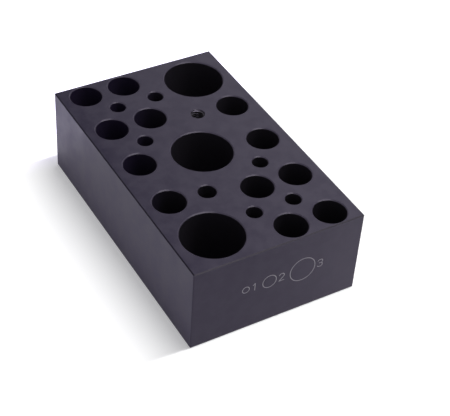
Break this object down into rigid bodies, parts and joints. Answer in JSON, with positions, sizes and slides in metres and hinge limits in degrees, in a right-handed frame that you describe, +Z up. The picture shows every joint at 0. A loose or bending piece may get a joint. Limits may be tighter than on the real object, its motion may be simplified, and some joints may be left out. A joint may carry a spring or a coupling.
{
  "type": "heat block insert",
  "caption": "Rectangular metal heating block with round wells for large, medium and small tubes, a thermometer well and a tapped lifting hole in its top face.",
  "frame": {"origin": "middle of the underside", "axes": "+Z up to the well mouths, +Y along the length towards the back, +X to the right across the width; the plain front face looks towards -Y"},
  "size_m": [0.0746, 0.1226, 0.0385],
  "materials": {
    "anodised_aluminium": "matte black anodised"
  },
  "bodies": {
    "root": {"heat_block": "anodised_aluminium"}
  },
  "joints": []
}
